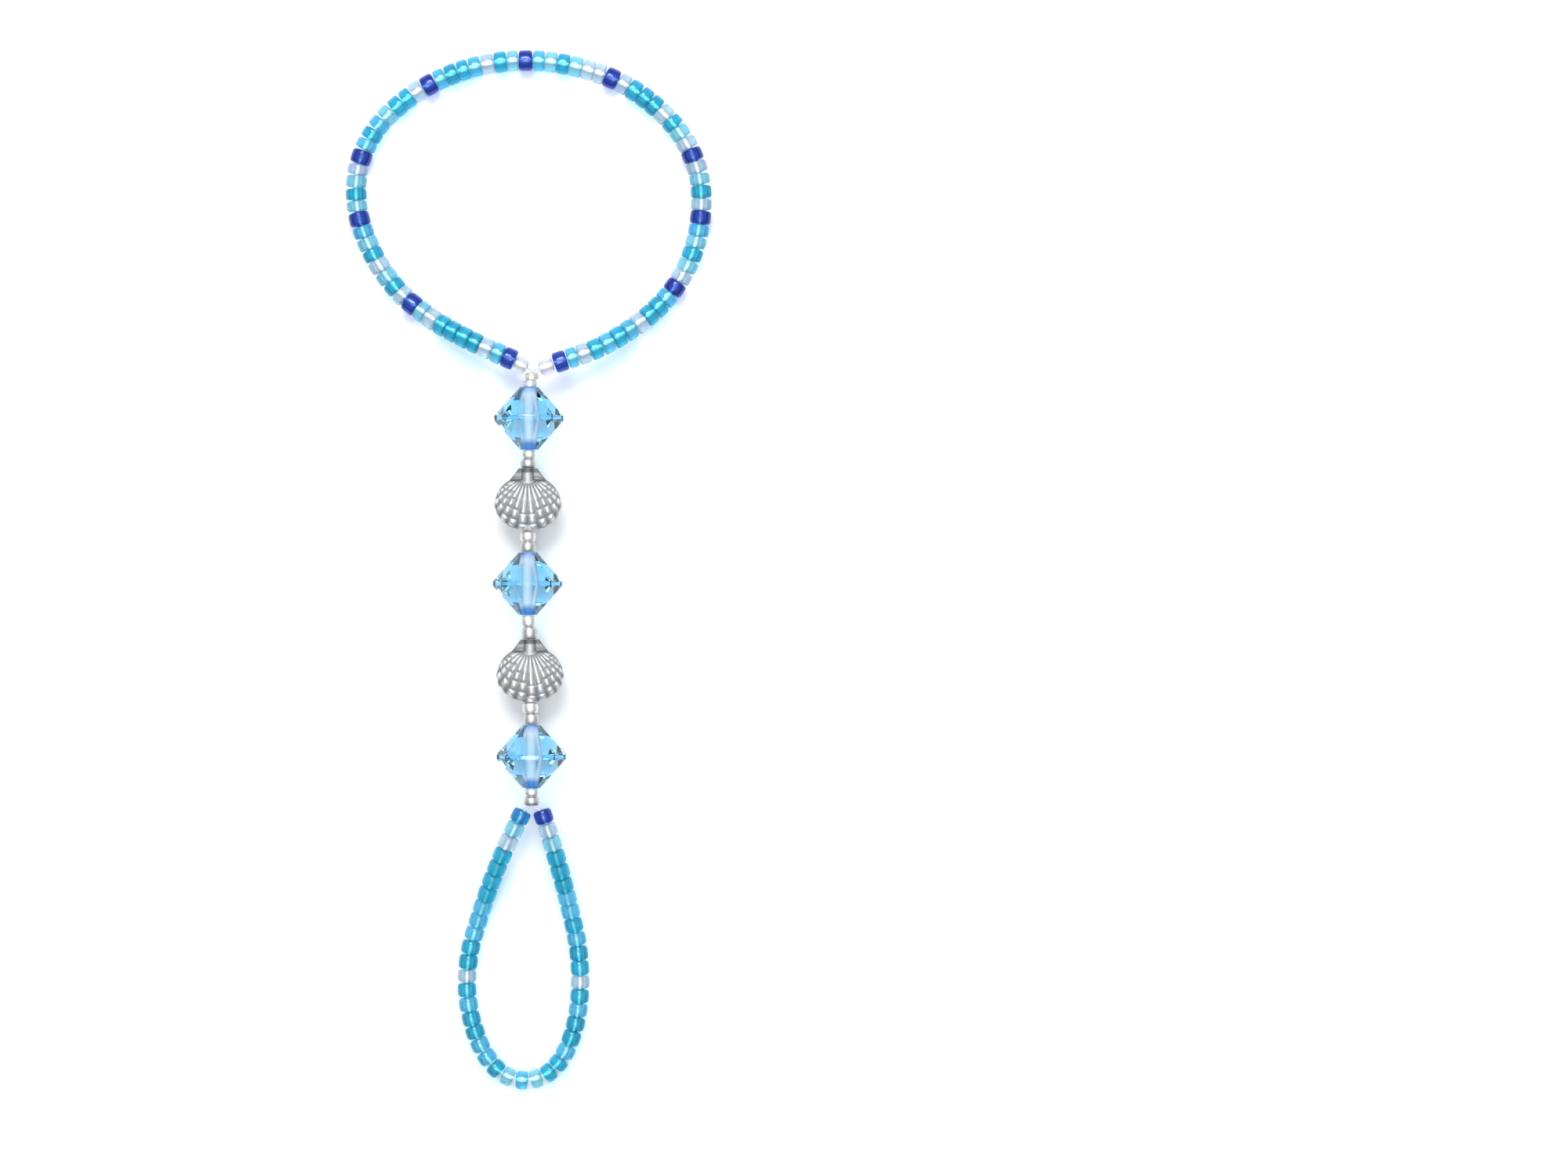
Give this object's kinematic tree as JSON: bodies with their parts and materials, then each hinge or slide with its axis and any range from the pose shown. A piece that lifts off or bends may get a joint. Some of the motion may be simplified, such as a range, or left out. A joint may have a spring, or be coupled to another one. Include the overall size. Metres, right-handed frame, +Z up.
{
  "type": "barefoot sandal",
  "caption": "Beaded barefoot sandal: an anklet loop and a toe loop of glass seed beads, joined by a centre strand of faceted crystals and scallop shell beads on one elastic cord.",
  "frame": {"origin": "centre of the bounding box, on the floor that the sandal lies on", "axes": "+Y from the toe loop towards the anklet loop along the centre strand, +Z up from the floor, +X to the right seen from above"},
  "size_m": [0.0693, 0.1968, 0.013],
  "materials": {
    "elastic": "clear elastic cord",
    "turquoise_glass": "silver-lined glass",
    "sky_glass": "silver-lined glass",
    "cobalt_glass": "silver-lined glass",
    "capri_glass": "silver-lined glass",
    "clear_glass": "silver-lined glass",
    "cream_glass": "pearly glass",
    "pale_glass": "silver-lined glass",
    "crystal": "faceted and polished",
    "antiqued_silver": "cast, with dark patina in the grooves",
    "silver": "polished"
  },
  "bodies": {
    "root": {"elastic_cord": "elastic", "anklet_beads": "turquoise_glass", "toe_beads": "sky_glass", "junction_bead_left": "clear_glass", "junction_bead_right": "clear_glass", "seed_1": "cream_glass", "seed_2": "pale_glass", "crystal_1": "crystal", "crystal_2": "crystal", "crystal_3": "crystal", "shell_1": "antiqued_silver", "shell_2": "antiqued_silver", "spacer_1": "silver", "spacer_2": "silver", "spacer_3": "silver", "spacer_4": "silver", "spacer_5": "silver", "spacer_6": "silver", "spacer_7": "silver", "spacer_8": "silver", "spacer_9": "silver", "spacer_10": "silver"}
  },
  "joints": []
}
